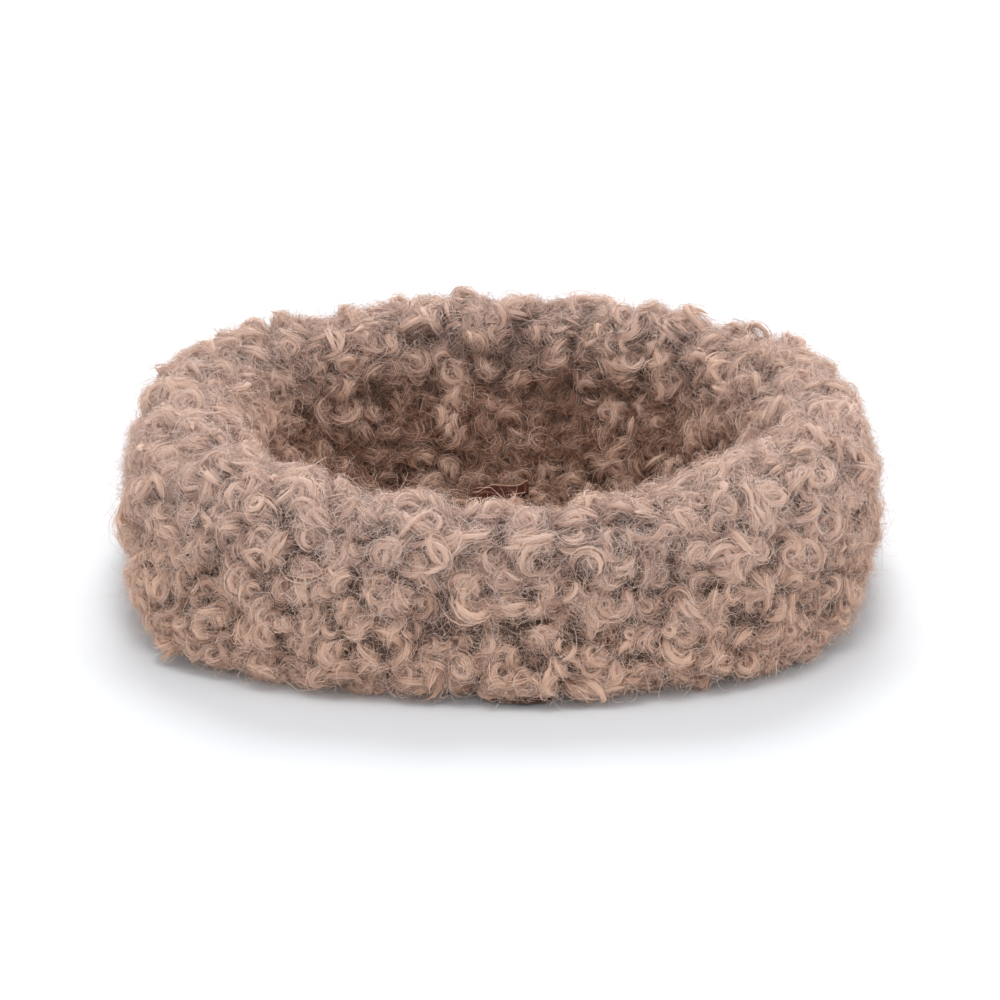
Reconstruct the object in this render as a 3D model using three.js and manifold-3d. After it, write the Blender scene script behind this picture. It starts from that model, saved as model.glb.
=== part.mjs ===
// A small nest-shaped pet bed: a fat stuffed wall of curly fleece round a padded floor.
// Millimetres, +Z up, origin at the middle of the underside, front towards -Y.
import * as THREE from "three";
import { mergeVertices } from "three/addons/utils/BufferGeometryUtils.js";
import Module from "manifold-3d";

const wasm = await Module();
wasm.setup();

// Driving dimensions
const HALF_WIDTH = 130; // middle of the bed to the fullest part of the wall
const WALL_HEIGHT = 64; // underside to the crest of the rim
const BELLY_HEIGHT = 28; // height at which the wall is fullest
const CREST_RADIUS = 108; // middle of the bed to the rim seam
const MOUTH_RADIUS = 86; // half the width of the nest at the height below
const MOUTH_HEIGHT = 43;
const FLOOR_RADIUS = 73; // half the width of the floor that the pet lies on
const FLOOR_TOP = 9.5; // height of the curls on the floor
const CORNER_POWER = 2.55; // plan outline: 2 is a circle, and more is squarer
const FLEECE = 8; // curls and knitted backing together, on the wall
const FLOOR_FLEECE = 6.5; // the same on the floor, where the curls are pressed down
const PANEL = 1.2; // thickness of the underside panel
const TAG = { width: 20, length: 30, thickness: 1, lift: 1.2 };
const THREAD_RADIUS = 0.45;
const GAP = 0.3; // left between pieces that touch
const SEAM_GAP = 1.7; // left between two fleece edges for the thread that joins them

const ROUND_STEPS = 56; // steps round the bed
const PROFILE_STEPS = 10; // steps along one side of the wall's section
const THREAD_SIDES = 5;

const BASE_SEAM_RADIUS = 117.5;
const FLOOR_BOTTOM = FLOOR_TOP - FLOOR_FLEECE;
const CLOSING_SLOT = { length: 60, width: SEAM_GAP, y: 88, stitches: 12 };
const BACK_JOIN_ANGLE = Math.PI / 2; // the bands are closed at the back

function material(color, roughness) {
  return new THREE.MeshStandardMaterial({ color, roughness, metalness: 0 });
}
const fleeceTaupe = 0xa58577;
const looks = {
  outerFleece: material(fleeceTaupe, 0.95),
  innerFleece: material(fleeceTaupe, 0.95),
  floorFleece: material(fleeceTaupe, 0.95),
  baseCloth: material(0x4a2a20, 0.8),
  tag: material(0x4b1f14, 0.35),
  filling: material(0xf2f0ec, 1),
  thread: material(0x8a6c5e, 0.8),
};

// How much further out the rounded square lies than a circle, in a given direction.
function squareness(angle) {
  const x = Math.abs(Math.cos(angle)) ** CORNER_POWER;
  const y = Math.abs(Math.sin(angle)) ** CORNER_POWER;
  return (x + y) ** (-1 / CORNER_POWER);
}

// Turns a section of (distance from the middle, height) points round the bed.
function turned(section, steps) {
  return new THREE.LatheGeometry(section, steps).rotateX(Math.PI / 2);
}

// The same, with the plan outline stretched from a circle to the bed's rounded square.
function aroundBed(section) {
  const geometry = turned(section, ROUND_STEPS);
  const at = geometry.getAttribute("position");
  for (let i = 0; i < at.count; i += 1) {
    const stretch = squareness(Math.atan2(at.getY(i), at.getX(i)));
    at.setXY(i, at.getX(i) * stretch, at.getY(i) * stretch);
  }
  return geometry;
}

function closed(points) {
  return [...points, points[0].clone()];
}

// Evenly spaced points along a path, moved to the left of its direction by the inset.
function pointsOf(path, inset = 0) {
  const points = [];
  for (let i = 0; i <= PROFILE_STEPS; i += 1) {
    const point = path.getPointAt(i / PROFILE_STEPS);
    const along = path.getTangentAt(i / PROFILE_STEPS);
    points.push(
      new THREE.Vector2(point.x - along.y * inset, point.y + along.x * inset),
    );
  }
  return points;
}

// The wall's outside, from the base seam round the belly and up to the rim seam.
function outerProfile() {
  const path = new THREE.Path();
  path.moveTo(BASE_SEAM_RADIUS, GAP);
  path.bezierCurveTo(
    HALF_WIDTH - 1, GAP,
    HALF_WIDTH, BELLY_HEIGHT / 6,
    HALF_WIDTH, BELLY_HEIGHT,
  );
  path.bezierCurveTo(
    HALF_WIDTH, WALL_HEIGHT * 0.8,
    HALF_WIDTH - 8, WALL_HEIGHT,
    CREST_RADIUS + SEAM_GAP / 2, WALL_HEIGHT,
  );
  return path;
}

// The wall's inside, from the rim seam over into the nest and down to the floor seam.
function innerProfile() {
  const path = new THREE.Path();
  path.moveTo(CREST_RADIUS - SEAM_GAP / 2, WALL_HEIGHT);
  path.bezierCurveTo(
    MOUTH_RADIUS + 7, WALL_HEIGHT,
    MOUTH_RADIUS + 1, MOUTH_HEIGHT + 11,
    MOUTH_RADIUS, MOUTH_HEIGHT,
  );
  path.bezierCurveTo(
    MOUTH_RADIUS - 1, MOUTH_HEIGHT - 14,
    FLOOR_RADIUS, FLOOR_TOP + 12,
    FLOOR_RADIUS, FLOOR_BOTTOM,
  );
  return path;
}

// A band of fleece: the visible profile, and the same profile one thickness in.
function band(profile) {
  const back = pointsOf(profile, FLEECE).reverse();
  return aroundBed(closed([...pointsOf(profile), ...back]));
}

function solid(geometry) {
  const bare = geometry.clone();
  bare.deleteAttribute("normal");
  bare.deleteAttribute("uv");
  const merged = mergeVertices(bare, 1e-4);
  return new wasm.Manifold(
    new wasm.Mesh({
      numProp: 3,
      vertProperties: merged.getAttribute("position").array,
      triVerts: new Uint32Array(merged.index.array),
    }),
  );
}

function cut(geometry, tool) {
  const mesh = solid(geometry).subtract(solid(tool)).getMesh();
  const result = new THREE.BufferGeometry();
  result.setAttribute("position", new THREE.BufferAttribute(mesh.vertProperties, 3));
  result.setIndex(new THREE.BufferAttribute(mesh.triVerts, 1));
  result.computeVertexNormals();
  return result;
}

// A narrow upright cut across a band, where its two ends meet at the back.
function joinSlit(radius) {
  const reach = HALF_WIDTH / 2;
  const slit = new THREE.BoxGeometry(SEAM_GAP, reach, 3 * WALL_HEIGHT);
  return slit.translate(0, radius, 0);
}

function outerWallCover() {
  return cut(band(outerProfile()), joinSlit(HALF_WIDTH));
}

function innerWallCover() {
  return cut(band(innerProfile()), joinSlit(MOUTH_RADIUS));
}

// A flat panel in the bed's plan outline.
function panel(edgeRadius, bottom, top) {
  return aroundBed([
    new THREE.Vector2(0, bottom),
    new THREE.Vector2(edgeRadius, bottom),
    new THREE.Vector2(edgeRadius, top),
    new THREE.Vector2(0, top),
  ]);
}

function floorCover() {
  return panel(FLOOR_RADIUS - SEAM_GAP, FLOOR_BOTTOM, FLOOR_TOP);
}

function undersideCover() {
  const { length, width, y } = CLOSING_SLOT;
  const slot = new THREE.BoxGeometry(length, width, 4 * PANEL).translate(0, y, 0);
  return cut(panel(BASE_SEAM_RADIUS - 2 * GAP, 0, PANEL), slot);
}

function floorFilling() {
  return panel(FLOOR_RADIUS - SEAM_GAP, PANEL + GAP, FLOOR_BOTTOM - GAP);
}

// Fills the wall: under both bands, down to the underside panel, round the floor's pad.
function wallFilling() {
  const under = FLEECE + 2 * GAP;
  const bottom = PANEL + GAP;
  const clearOfSeam = BASE_SEAM_RADIUS - 3;
  const outside = pointsOf(outerProfile(), under).slice(2);
  const inside = pointsOf(innerProfile(), under).slice(0, -1);
  const foot = [
    new THREE.Vector2(FLOOR_RADIUS + under, FLOOR_BOTTOM - 2 * GAP),
    new THREE.Vector2(FLOOR_RADIUS, FLOOR_BOTTOM - 2 * GAP),
    new THREE.Vector2(FLOOR_RADIUS, bottom),
    new THREE.Vector2(clearOfSeam, bottom),
    new THREE.Vector2(clearOfSeam, bottom + FLEECE),
  ];
  return aroundBed(closed([...outside, ...inside, ...foot]));
}

// A blank folded ribbon that comes out of the floor seam at the back and lies on the
// floor, its loose end lifting a little.
function tag() {
  const root = FLOOR_RADIUS - GAP;
  const low = FLOOR_TOP + GAP;
  const end = root - TAG.length;
  const shape = new THREE.Shape();
  shape.moveTo(root, low);
  shape.lineTo(root, low + TAG.thickness);
  shape.quadraticCurveTo(
    root - TAG.length * 0.6, low + TAG.thickness,
    end, low + TAG.thickness + TAG.lift,
  );
  shape.lineTo(end, low + TAG.lift);
  shape.quadraticCurveTo(root - TAG.length * 0.6, low, root, low);
  const ribbon = new THREE.ExtrudeGeometry(shape, {
    depth: TAG.width,
    bevelEnabled: false,
    curveSegments: 6,
  });
  ribbon.translate(0, 0, -TAG.width / 2);
  return ribbon.rotateX(Math.PI / 2).rotateZ(BACK_JOIN_ANGLE);
}

function seamRing(radius, height) {
  const section = [];
  for (let side = 0; side < THREAD_SIDES; side += 1) {
    const turn = (2 * Math.PI * side) / THREAD_SIDES;
    section.push(
      new THREE.Vector2(
        radius + THREAD_RADIUS * Math.cos(turn),
        height + THREAD_RADIUS * Math.sin(turn),
      ),
    );
  }
  return aroundBed(closed(section));
}

function threadAlong(points, steps) {
  const section = new THREE.Shape();
  for (let side = 0; side < THREAD_SIDES; side += 1) {
    const turn = (2 * Math.PI * side) / THREAD_SIDES;
    const x = THREAD_RADIUS * Math.cos(turn);
    const y = THREAD_RADIUS * Math.sin(turn);
    if (side === 0) section.moveTo(x, y);
    else section.lineTo(x, y);
  }
  section.closePath();
  return new THREE.ExtrudeGeometry(section, {
    steps,
    extrudePath: new THREE.CatmullRomCurve3(points),
  });
}

// The stitches that close a band, in its slit and down at the backing.
function joinSeam(profile) {
  const atBacking = pointsOf(profile, FLEECE * 0.7).slice(1, -1);
  const points = atBacking.map(
    (p) => new THREE.Vector3(
      p.x * Math.cos(BACK_JOIN_ANGLE),
      p.x * Math.sin(BACK_JOIN_ANGLE),
      p.y,
    ),
  );
  return threadAlong(points, 2 * points.length);
}

// Hand stitches that run from side to side of the slot the filling went in by.
function closingSeam() {
  const { length, width, y, stitches } = CLOSING_SLOT;
  const reach = width / 2 - THREAD_RADIUS - GAP / 2;
  const points = [];
  for (let i = 0; i <= stitches; i += 1) {
    const side = i % 2 === 0 ? 1 : -1;
    const along = (i / stitches - 0.5) * (length - 3);
    points.push(new THREE.Vector3(along, y + side * reach, PANEL / 2));
  }
  return threadAlong(points, 4 * stitches);
}

const bed = new THREE.Group();

function addPiece(name, geometry, look) {
  const mesh = new THREE.Mesh(geometry, look);
  mesh.name = name;
  bed.add(mesh);
}

addPiece("outer_wall_cover", outerWallCover(), looks.outerFleece);
addPiece("inner_wall_cover", innerWallCover(), looks.innerFleece);
addPiece("floor_cover", floorCover(), looks.floorFleece);
addPiece("underside_cover", undersideCover(), looks.baseCloth);
addPiece("wall_filling", wallFilling(), looks.filling);
addPiece("floor_filling", floorFilling(), looks.filling);
addPiece("tag", tag(), looks.tag);
addPiece("rim_seam", seamRing(CREST_RADIUS, WALL_HEIGHT - FLEECE * 0.8), looks.thread);
addPiece(
  "floor_seam",
  seamRing(FLOOR_RADIUS - SEAM_GAP / 2, FLOOR_BOTTOM + 1),
  looks.thread,
);
addPiece("base_seam", seamRing(BASE_SEAM_RADIUS - 1.5, PANEL + 1), looks.thread);
addPiece("wall_join_seam", joinSeam(outerProfile()), looks.thread);
addPiece("inner_join_seam", joinSeam(innerProfile()), looks.thread);
addPiece("filling_gap_seam", closingSeam(), looks.thread);

export default bed;
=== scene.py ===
"""A small nest-shaped pet bed in curly fleece, in metres, in the CAD model's frame.

The fleece is real geometry: thousands of curled locks, each a bundle of strands round a core,
rooted in a knitted backing, with loose single hairs between them.
"""
import math

import bpy
import numpy as np
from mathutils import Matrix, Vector


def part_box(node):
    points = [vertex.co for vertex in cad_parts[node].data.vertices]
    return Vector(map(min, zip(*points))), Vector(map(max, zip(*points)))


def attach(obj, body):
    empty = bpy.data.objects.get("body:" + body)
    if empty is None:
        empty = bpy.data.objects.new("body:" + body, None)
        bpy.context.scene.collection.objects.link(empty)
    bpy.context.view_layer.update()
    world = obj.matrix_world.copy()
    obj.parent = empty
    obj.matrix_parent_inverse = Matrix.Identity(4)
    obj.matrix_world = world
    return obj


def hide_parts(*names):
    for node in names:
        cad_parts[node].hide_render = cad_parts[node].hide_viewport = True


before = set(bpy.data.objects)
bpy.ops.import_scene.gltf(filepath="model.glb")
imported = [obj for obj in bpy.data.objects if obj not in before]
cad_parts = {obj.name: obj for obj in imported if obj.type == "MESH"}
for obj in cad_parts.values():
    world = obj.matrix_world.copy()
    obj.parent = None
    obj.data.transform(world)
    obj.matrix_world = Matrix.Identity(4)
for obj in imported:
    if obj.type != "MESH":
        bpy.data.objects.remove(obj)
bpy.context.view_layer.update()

MM = 0.001
rng = np.random.default_rng(20)

# ---------------------------------------------------------------- sizes from the CAD model


def corners(node):
    """The low and high corners of a CAD node's box, in millimetres."""
    return [np.array(corner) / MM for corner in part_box(node)]


HALF_WIDTH, _, WALL_HEIGHT = corners("outer_wall_cover")[1]
FLOOR_RADIUS, _, FLOOR_TOP = corners("floor_cover")[1]
CREST_RADIUS = corners("rim_seam")[1][0]
BASE_RADIUS = corners("underside_cover")[1][0]
TAG_LOW, TAG_HIGH = corners("tag")
TAG_HALF_WIDTH = (TAG_HIGH[0] - TAG_LOW[0]) / 2
TAG_ROOT, TAG_END = TAG_HIGH[1], TAG_LOW[1]

# ---------------------------------------------------------------- camera


def make_camera():
    """A long lens a little above the rim, as for a product picture."""
    distance = 1.4
    elevation = math.radians(18.9)
    aim = Vector((-0.0002, 0, 0.0237))
    data = bpy.data.cameras.new("camera")
    data.lens = 145.3
    data.sensor_width = 36
    data.clip_start = 0.05
    data.clip_end = 20
    camera = bpy.data.objects.new("camera", data)
    bpy.context.collection.objects.link(camera)
    direction = Vector((0, -math.cos(elevation), math.sin(elevation)))
    camera.location = aim + distance * direction
    camera.rotation_euler = (-direction).to_track_quat("-Z", "Y").to_euler()
    bpy.context.scene.camera = camera


make_camera()

# ---------------------------------------------------------------- node helpers


def new_material(name):
    material = bpy.data.materials.new(name)
    material.use_nodes = True
    tree = material.node_tree
    shader = tree.nodes["Principled BSDF"]
    return material, tree, shader


def add_node(tree, kind, **settings):
    """Adds a node; settings that name an input set it, and the rest are the node's own."""
    node = tree.nodes.new(kind)
    for key, value in settings.items():
        if hasattr(node, key):
            setattr(node, key, value)
        else:
            node.inputs[key.replace("_", " ")].default_value = value
    return node


def link(tree, source, target):
    tree.links.new(source, target)


def attribute(tree, name, output="Fac"):
    return add_node(tree, "ShaderNodeAttribute", attribute_name=name).outputs[output]


def ramp(tree, value, stops):
    """A colour ramp through (position, linear rgb) stops."""
    node = add_node(tree, "ShaderNodeValToRGB")
    elements = node.color_ramp.elements
    while len(elements) < len(stops):
        elements.new(0.5)
    for element, (position, colour) in zip(elements, stops):
        element.position = position
        element.color = (*colour, 1)
    link(tree, value, node.inputs["Fac"])
    return node.outputs["Color"]


def math_node(tree, operation, first, second):
    node = add_node(tree, "ShaderNodeMath", operation=operation)
    for socket, value in zip(node.inputs, (first, second)):
        if isinstance(value, (int, float)):
            socket.default_value = value
        else:
            link(tree, value, socket)
    return node.outputs["Value"]


def noise(tree, coordinates, scale, detail=2.0, roughness=0.5):
    node = add_node(tree, "ShaderNodeTexNoise", Scale=scale, Detail=detail, Roughness=roughness)
    link(tree, coordinates, node.inputs["Vector"])
    return node.outputs["Fac"]


def bump(tree, height, distance, strength, shader):
    node = add_node(tree, "ShaderNodeBump", Distance=distance, Strength=strength)
    link(tree, height, node.inputs["Height"])
    link(tree, node.outputs["Normal"], shader.inputs["Normal"])


# ---------------------------------------------------------------- materials

WOOL_TONES = [
    (0.0, (0.14, 0.058, 0.032)),
    (0.28, (0.31, 0.168, 0.112)),
    (0.58, (0.54, 0.342, 0.252)),
    (0.95, (0.77, 0.54, 0.41)),
]
WOOL_TONE_START = 0.24
STREAK_SHARE, TONE_SHARE, DEPTH_SHADING_SHARE = 0.4, 0.5, 0.5  # of what moves wool along its tones
PALE_HAIR = (0.69, 0.585, 0.55)


def fleece_material(name):
    """Wool: a tone for each lock and strand, streaks along the lock, painted shade darker at the roots
    and in creases, and a pale mix for paler hairs and the rim's painted sheen.
    """
    material, tree, shader = new_material(name)
    streak = noise(tree, attribute(tree, "fibre", "Vector"), 1.0, 3.0, 0.6)
    value = math_node(tree, "MULTIPLY", streak, STREAK_SHARE)
    for key, share in (("tone", TONE_SHARE), ("painted_depth_shading", DEPTH_SHADING_SHARE)):
        value = math_node(tree, "ADD", value, math_node(tree, "MULTIPLY", attribute(tree, key), share))
    value = math_node(tree, "SUBTRACT", value, WOOL_TONE_START)
    colour = ramp(tree, value, WOOL_TONES)
    pale = add_node(tree, "ShaderNodeMix", data_type="RGBA")
    link(tree, attribute(tree, "pale"), pale.inputs["Factor"])
    link(tree, colour, pale.inputs["A"])
    pale.inputs["B"].default_value = (*PALE_HAIR, 1)
    link(tree, pale.outputs["Result"], shader.inputs["Base Color"])
    shader.inputs["Roughness"].default_value = 0.85
    shader.inputs["Specular IOR Level"].default_value = 0.06
    return material


def cloth_material(name, low, high, scale, roughness, depth):
    """A plain cloth: mottled colour, with the same mottle as its relief."""
    material, tree, shader = new_material(name)
    place = add_node(tree, "ShaderNodeTexCoord").outputs["Object"]
    mottle = noise(tree, place, scale, 4.0, 0.7)
    link(tree, ramp(tree, mottle, [(0.3, low), (0.75, high)]), shader.inputs["Base Color"])
    shader.inputs["Roughness"].default_value = roughness
    bump(tree, mottle, depth, 0.8, shader)
    return material


FLEECE = fleece_material("curly_fleece")
# the backing is coloured as dark as the deepest pile: partly its own colour, partly painted shade in
# the gaps between curls
BACKING = cloth_material("knitted_backing", (0.07, 0.042, 0.03), (0.2, 0.125, 0.093), 900, 0.95, 0.0008)
SUEDE = cloth_material("suede_cloth", (0.05, 0.02, 0.013), (0.11, 0.052, 0.036), 1400, 0.9, 0.0002)
BATTING = cloth_material("fibre_batting", (0.7, 0.69, 0.66), (0.92, 0.91, 0.88), 260, 1.0, 0.002)
THREAD = cloth_material("thread", (0.2, 0.13, 0.1), (0.4, 0.28, 0.22), 2500, 0.7, 0.0001)

SATIN_TONES = [(0.3, (0.026, 0.006, 0.003)), (1.0, (0.09, 0.02, 0.01))]
SATIN_HIGHLIGHT = (0.6, 0.37, 0.26)
# where the painted highlight lies along the ribbon's fold
FOLD_AT, FOLD_REACH = 10.8, 2.3  # from the ribbon's free end, and to each side


def satin_material():
    """Chestnut satin ribbon: fine ribs across the weave, and a pale painted highlight where it folds
    up.
    """
    material, tree, shader = new_material("satin_ribbon")
    place = add_node(tree, "ShaderNodeTexCoord").outputs["Object"]
    ribs = add_node(tree, "ShaderNodeTexWave", Scale=900.0, Distortion=0.6)
    ribs.bands_direction = "Y"
    link(tree, place, ribs.inputs["Vector"])
    rib = ribs.outputs["Fac"]
    patches = noise(tree, place, 180.0, 2.0)
    value = math_node(tree, "ADD", math_node(tree, "MULTIPLY", rib, 0.35), patches)
    colour = ramp(tree, value, SATIN_TONES)
    along = add_node(tree, "ShaderNodeSeparateXYZ")
    link(tree, place, along.inputs["Vector"])
    off_fold = math_node(tree, "SUBTRACT", along.outputs["Y"], (TAG_END + FOLD_AT) * MM)
    off_fold = math_node(tree, "ABSOLUTE", off_fold, 0.0)
    highlight_share = math_node(tree, "SUBTRACT", 1.0, math_node(tree, "DIVIDE", off_fold, FOLD_REACH * MM))
    # a pale painted highlight along the fold
    highlight_mix = add_node(tree, "ShaderNodeMix", data_type="RGBA")
    link(tree, highlight_share, highlight_mix.inputs["Factor"])
    link(tree, colour, highlight_mix.inputs["A"])
    highlight_mix.inputs["B"].default_value = (*SATIN_HIGHLIGHT, 1)
    link(tree, highlight_mix.outputs["Result"], shader.inputs["Base Color"])
    shader.inputs["Roughness"].default_value = 0.42
    shader.inputs["Specular IOR Level"].default_value = 0.05
    bump(tree, rib, 0.0001, 0.5, shader)
    return material


SATIN = satin_material()

# ---------------------------------------------------------------- small helpers


def unit(vectors):
    """The vectors scaled to a length of 1."""
    return vectors / np.maximum(np.linalg.norm(vectors, axis=-1, keepdims=True), 1e-9)


def smooth(value):
    """Eases from 0 to 1 as value goes from 0 to 1."""
    value = np.clip(value, 0, 1)
    return value * value * (3 - 2 * value)


def whole_turn(columns):
    return np.linspace(0, 2 * math.pi, columns, endpoint=False)


def turn_between(angle, middle):
    """The turn from middle to angle, between minus half a turn and half a turn."""
    return (angle - middle + math.pi) % (2 * math.pi) - math.pi


def grid_quads(rows, columns, wrap_rows=False, wrap_columns=False):
    """Quads over a grid of vertices numbered row by row."""
    row = np.arange(rows if wrap_rows else rows - 1)[:, None]
    column = np.arange(columns if wrap_columns else columns - 1)[None, :]
    below, beside = (row + 1) % rows, (column + 1) % columns
    around_quad = [row * columns + column, row * columns + beside,
                   below * columns + beside, below * columns + column]
    return np.stack(around_quad, -1).reshape(-1, 4)


def tube_quads(tubes, steps, sides):
    """Quads of open tubes, whose vertices are numbered tube by tube and ring by ring."""
    first = np.arange(tubes)[:, None, None] * steps * sides
    return (first + grid_quads(steps, sides, wrap_columns=True)).reshape(-1, 4)


# ---------------------------------------------------------------- the shape under the curls

CORNER_POWER = 2.55  # of the plan's rounded square
PLAN_STRETCH = 1.07  # the outline's length over a circle's of the same width
LOWEST = 1.8  # height of the pile's lowest curls
BELLY_HEIGHT = 28  # where the wall is fullest
MOUTH_RADIUS, MOUTH_HEIGHT = 86, 43
FLOOR_FILLET = 4  # height of the round between the wall and the floor


def bezier(start, first, second, end, count):
    """A curve from start to end, which heads for first as it leaves and comes in from second."""
    t = np.linspace(0, 1, count, endpoint=False)[:, None]
    weights = ((1 - t) ** 3, 3 * t * (1 - t) ** 2, 3 * t * t * (1 - t), t**3)
    return sum(w * np.array(p, float) for w, p in zip(weights, (start, first, second, end)))


class Profile:
    """The line the curls reach, from the base seam over the rim and in to the floor's middle."""

    def __init__(self):
        parts = [
            bezier((BASE_RADIUS, LOWEST), (HALF_WIDTH - 2, LOWEST),
                   (HALF_WIDTH + 3, 9), (HALF_WIDTH, BELLY_HEIGHT), 120),
            bezier((HALF_WIDTH, BELLY_HEIGHT), (HALF_WIDTH, WALL_HEIGHT * 0.8),
                   (HALF_WIDTH - 8, WALL_HEIGHT), (CREST_RADIUS, WALL_HEIGHT), 160),
            bezier((CREST_RADIUS, WALL_HEIGHT), (MOUTH_RADIUS + 7, WALL_HEIGHT),
                   (MOUTH_RADIUS + 1, MOUTH_HEIGHT + 11), (MOUTH_RADIUS, MOUTH_HEIGHT), 120),
            bezier((MOUTH_RADIUS, MOUTH_HEIGHT), (MOUTH_RADIUS - 1, MOUTH_HEIGHT - 14),
                   (FLOOR_RADIUS, FLOOR_TOP + 12), (FLOOR_RADIUS, FLOOR_TOP + FLOOR_FILLET), 120),
            bezier((FLOOR_RADIUS, FLOOR_TOP + FLOOR_FILLET), (FLOOR_RADIUS, FLOOR_TOP),
                   (FLOOR_RADIUS - 5, FLOOR_TOP), (FLOOR_RADIUS - 8, FLOOR_TOP), 30),
            bezier((FLOOR_RADIUS - 8, FLOOR_TOP), (40, FLOOR_TOP),
                   (20, FLOOR_TOP), (0.5, FLOOR_TOP), 120),
        ]
        line = np.concatenate(parts)
        steps = np.linalg.norm(np.diff(line, axis=0), axis=1)
        self.line = line
        self.length_at = np.concatenate([[0], np.cumsum(steps)])
        self.total = self.length_at[-1]
        starts = np.cumsum([0] + [len(part) for part in parts])
        self.crest = self.length_at[starts[2]]
        self.floor = self.length_at[starts[4]]

    def at(self, s):
        """Distance from the bed's middle and height, at s millimetres along the line."""
        radius = np.interp(s, self.length_at, self.line[:, 0])
        height = np.interp(s, self.length_at, self.line[:, 1])
        return radius, height


profile = Profile()


def plan(radius, angle):
    """A point of the rounded-square plan outline."""
    c, s = np.cos(angle), np.sin(angle)
    stretch = (np.abs(c) ** CORNER_POWER + np.abs(s) ** CORNER_POWER) ** (-1 / CORNER_POWER)
    return radius * stretch * c, radius * stretch * s


def scatter(spacing, jitter, low, high, random):
    """Evenly scattered (s, angle) pairs in staggered rows round the bed, s along the profile."""
    rows = max(int(round((high - low) / spacing)), 1)
    found = []
    for row in range(rows):
        s = low + (row + 0.5) * (high - low) / rows
        radius, _ = profile.at(s)
        count = max(int(round(2 * math.pi * radius * PLAN_STRETCH / spacing)), 1)
        angle = (np.arange(count) + 0.5 * (row % 2)) / count * 2 * math.pi
        angle += random.uniform(-jitter, jitter, count) * spacing / max(radius, spacing)
        where = s + random.uniform(-jitter, jitter, count) * spacing
        found.append(np.stack([np.clip(where, low, high), angle], -1))
    return np.concatenate(found)


def waves(count, turns, along, size):
    """Random waves over the surface: whole turns round the bed, radians per mm along it."""
    return [
        (int(rng.integers(*turns)), rng.uniform(*along) * rng.choice([-1, 1]),
         rng.uniform(0, 2 * math.pi), rng.uniform(*size))
        for _ in range(count)
    ]


FRONT, BACK = -math.pi / 2, math.pi / 2
FRONT_SAG, SAG_REACH = 0.13, 0.5  # share of the height, radians to each side
FOOT_HEIGHT = 28
FOOT_SPREAD, FOOT_ENDS, FOOT_CORNERS = 1.8, 3.2, -1.5  # all round, front and back, and corners

# how the bed departs from an even one: degrees from the front, reach in degrees, millimetres
FOOT_BUMPS = [(4, 16, 6), (41, 12, 3.5), (78, 22, -8), (-48, 10, 5.5), (-30, 8, -1.5), (-70, 14, -4)]
WALL_BUMPS = [(117, 18, -4.5), (86, 22, -2), (-130, 14, 1.2), (-95, 20, -1.5)]
RIM_BUMPS = [(135, 20, -4), (-136, 22, -4)]
LEAN = 1.2  # of the rim to the right

PUFF_SPACING = 9.3
PUFF_REACH = (5.0, 8.2)
PUFF_HEIGHT = (1.8, 4.8)
PUFF_MEAN = 2.4
RIM_PUFF = 0.75  # the tufts are so much fuller at the rim
RIM_BAND = 26
STEEPEST = 1.2  # slope of a tuft's side

LUMPS = waves(8, (3, 12), (0.02, 0.07), (0.2, 0.45)) + waves(14, (14, 34), (0.05, 0.3), (0.1, 0.3))


def rimness(s):
    """1 at the crest of the rim, falling to 0 down the wall on either side."""
    return np.exp(-(((s - profile.crest) / RIM_BAND) ** 2))


class Puffs:
    """Rounded tufts that the pile gathers in: domes that meet in creases."""

    def __init__(self):
        self.places = scatter(PUFF_SPACING, 0.42, 0, profile.total - 1, rng)
        self.reach = rng.uniform(*PUFF_REACH, len(self.places))
        self.height = rng.uniform(*PUFF_HEIGHT, len(self.places))

    def look(self, s, angle):
        """Height over the creases, and the way to the nearest dome's middle."""
        flat_s, flat_angle = (np.ravel(v) for v in np.broadcast_arrays(s, angle))
        reach = PUFF_REACH[1]
        near = (self.places[:, 0] > flat_s.min() - reach) & (self.places[:, 0] < flat_s.max() + reach)
        places = self.places[near]
        away_s = flat_s[:, None] - places[:, 0]
        turn = turn_between(flat_angle[:, None], places[:, 1])
        away_around = turn * profile.at(flat_s)[0][:, None] * PLAN_STRETCH
        share = (away_s**2 + away_around**2) / self.reach[near] ** 2
        height = self.height[near] * np.sqrt(np.maximum(1 - share, 0))
        rows, top = np.arange(len(flat_s)), share.argmin(1)
        shape = np.broadcast(s, angle).shape
        return (
            (height.max(1) * (1 + RIM_PUFF * rimness(flat_s))).reshape(shape),
            away_around[rows, top].reshape(shape),
            away_s[rows, top].reshape(shape),
        )


puffs = Puffs()

PRESSED_MIDDLE, PRESSED_HALF, PRESSED_DEPTH = TAG_END + 4, 8.5, 5.5


def under_tag(s, angle):
    """1 where the tag presses the floor's pile down, and 0 away from it."""
    x, y = plan(profile.at(s)[0], angle)
    off = (x / TAG_HALF_WIDTH) ** 4 + ((y - PRESSED_MIDDLE) / PRESSED_HALF) ** 4
    return np.where(s > profile.floor, np.exp(-off), 0)


def lump(s, angle):
    """Unevenness of the filling and the pile, in millimetres along the surface's normal."""
    soft = sum(size * np.sin(turns * angle + along * s + phase) for turns, along, phase, size in LUMPS)
    tufts = puffs.look(s, angle)[0] - PUFF_MEAN * (1 + RIM_PUFF * rimness(s))
    return soft + tufts - PRESSED_DEPTH * under_tag(s, angle)


def sag(angle):
    """The share of its height that the wall keeps: it is lower at the front and back corners."""
    dip = FRONT_SAG * np.exp(-((turn_between(angle, FRONT) / SAG_REACH) ** 2))
    return 1 - dip + bumps(angle, RIM_BUMPS) / WALL_HEIGHT


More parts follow.
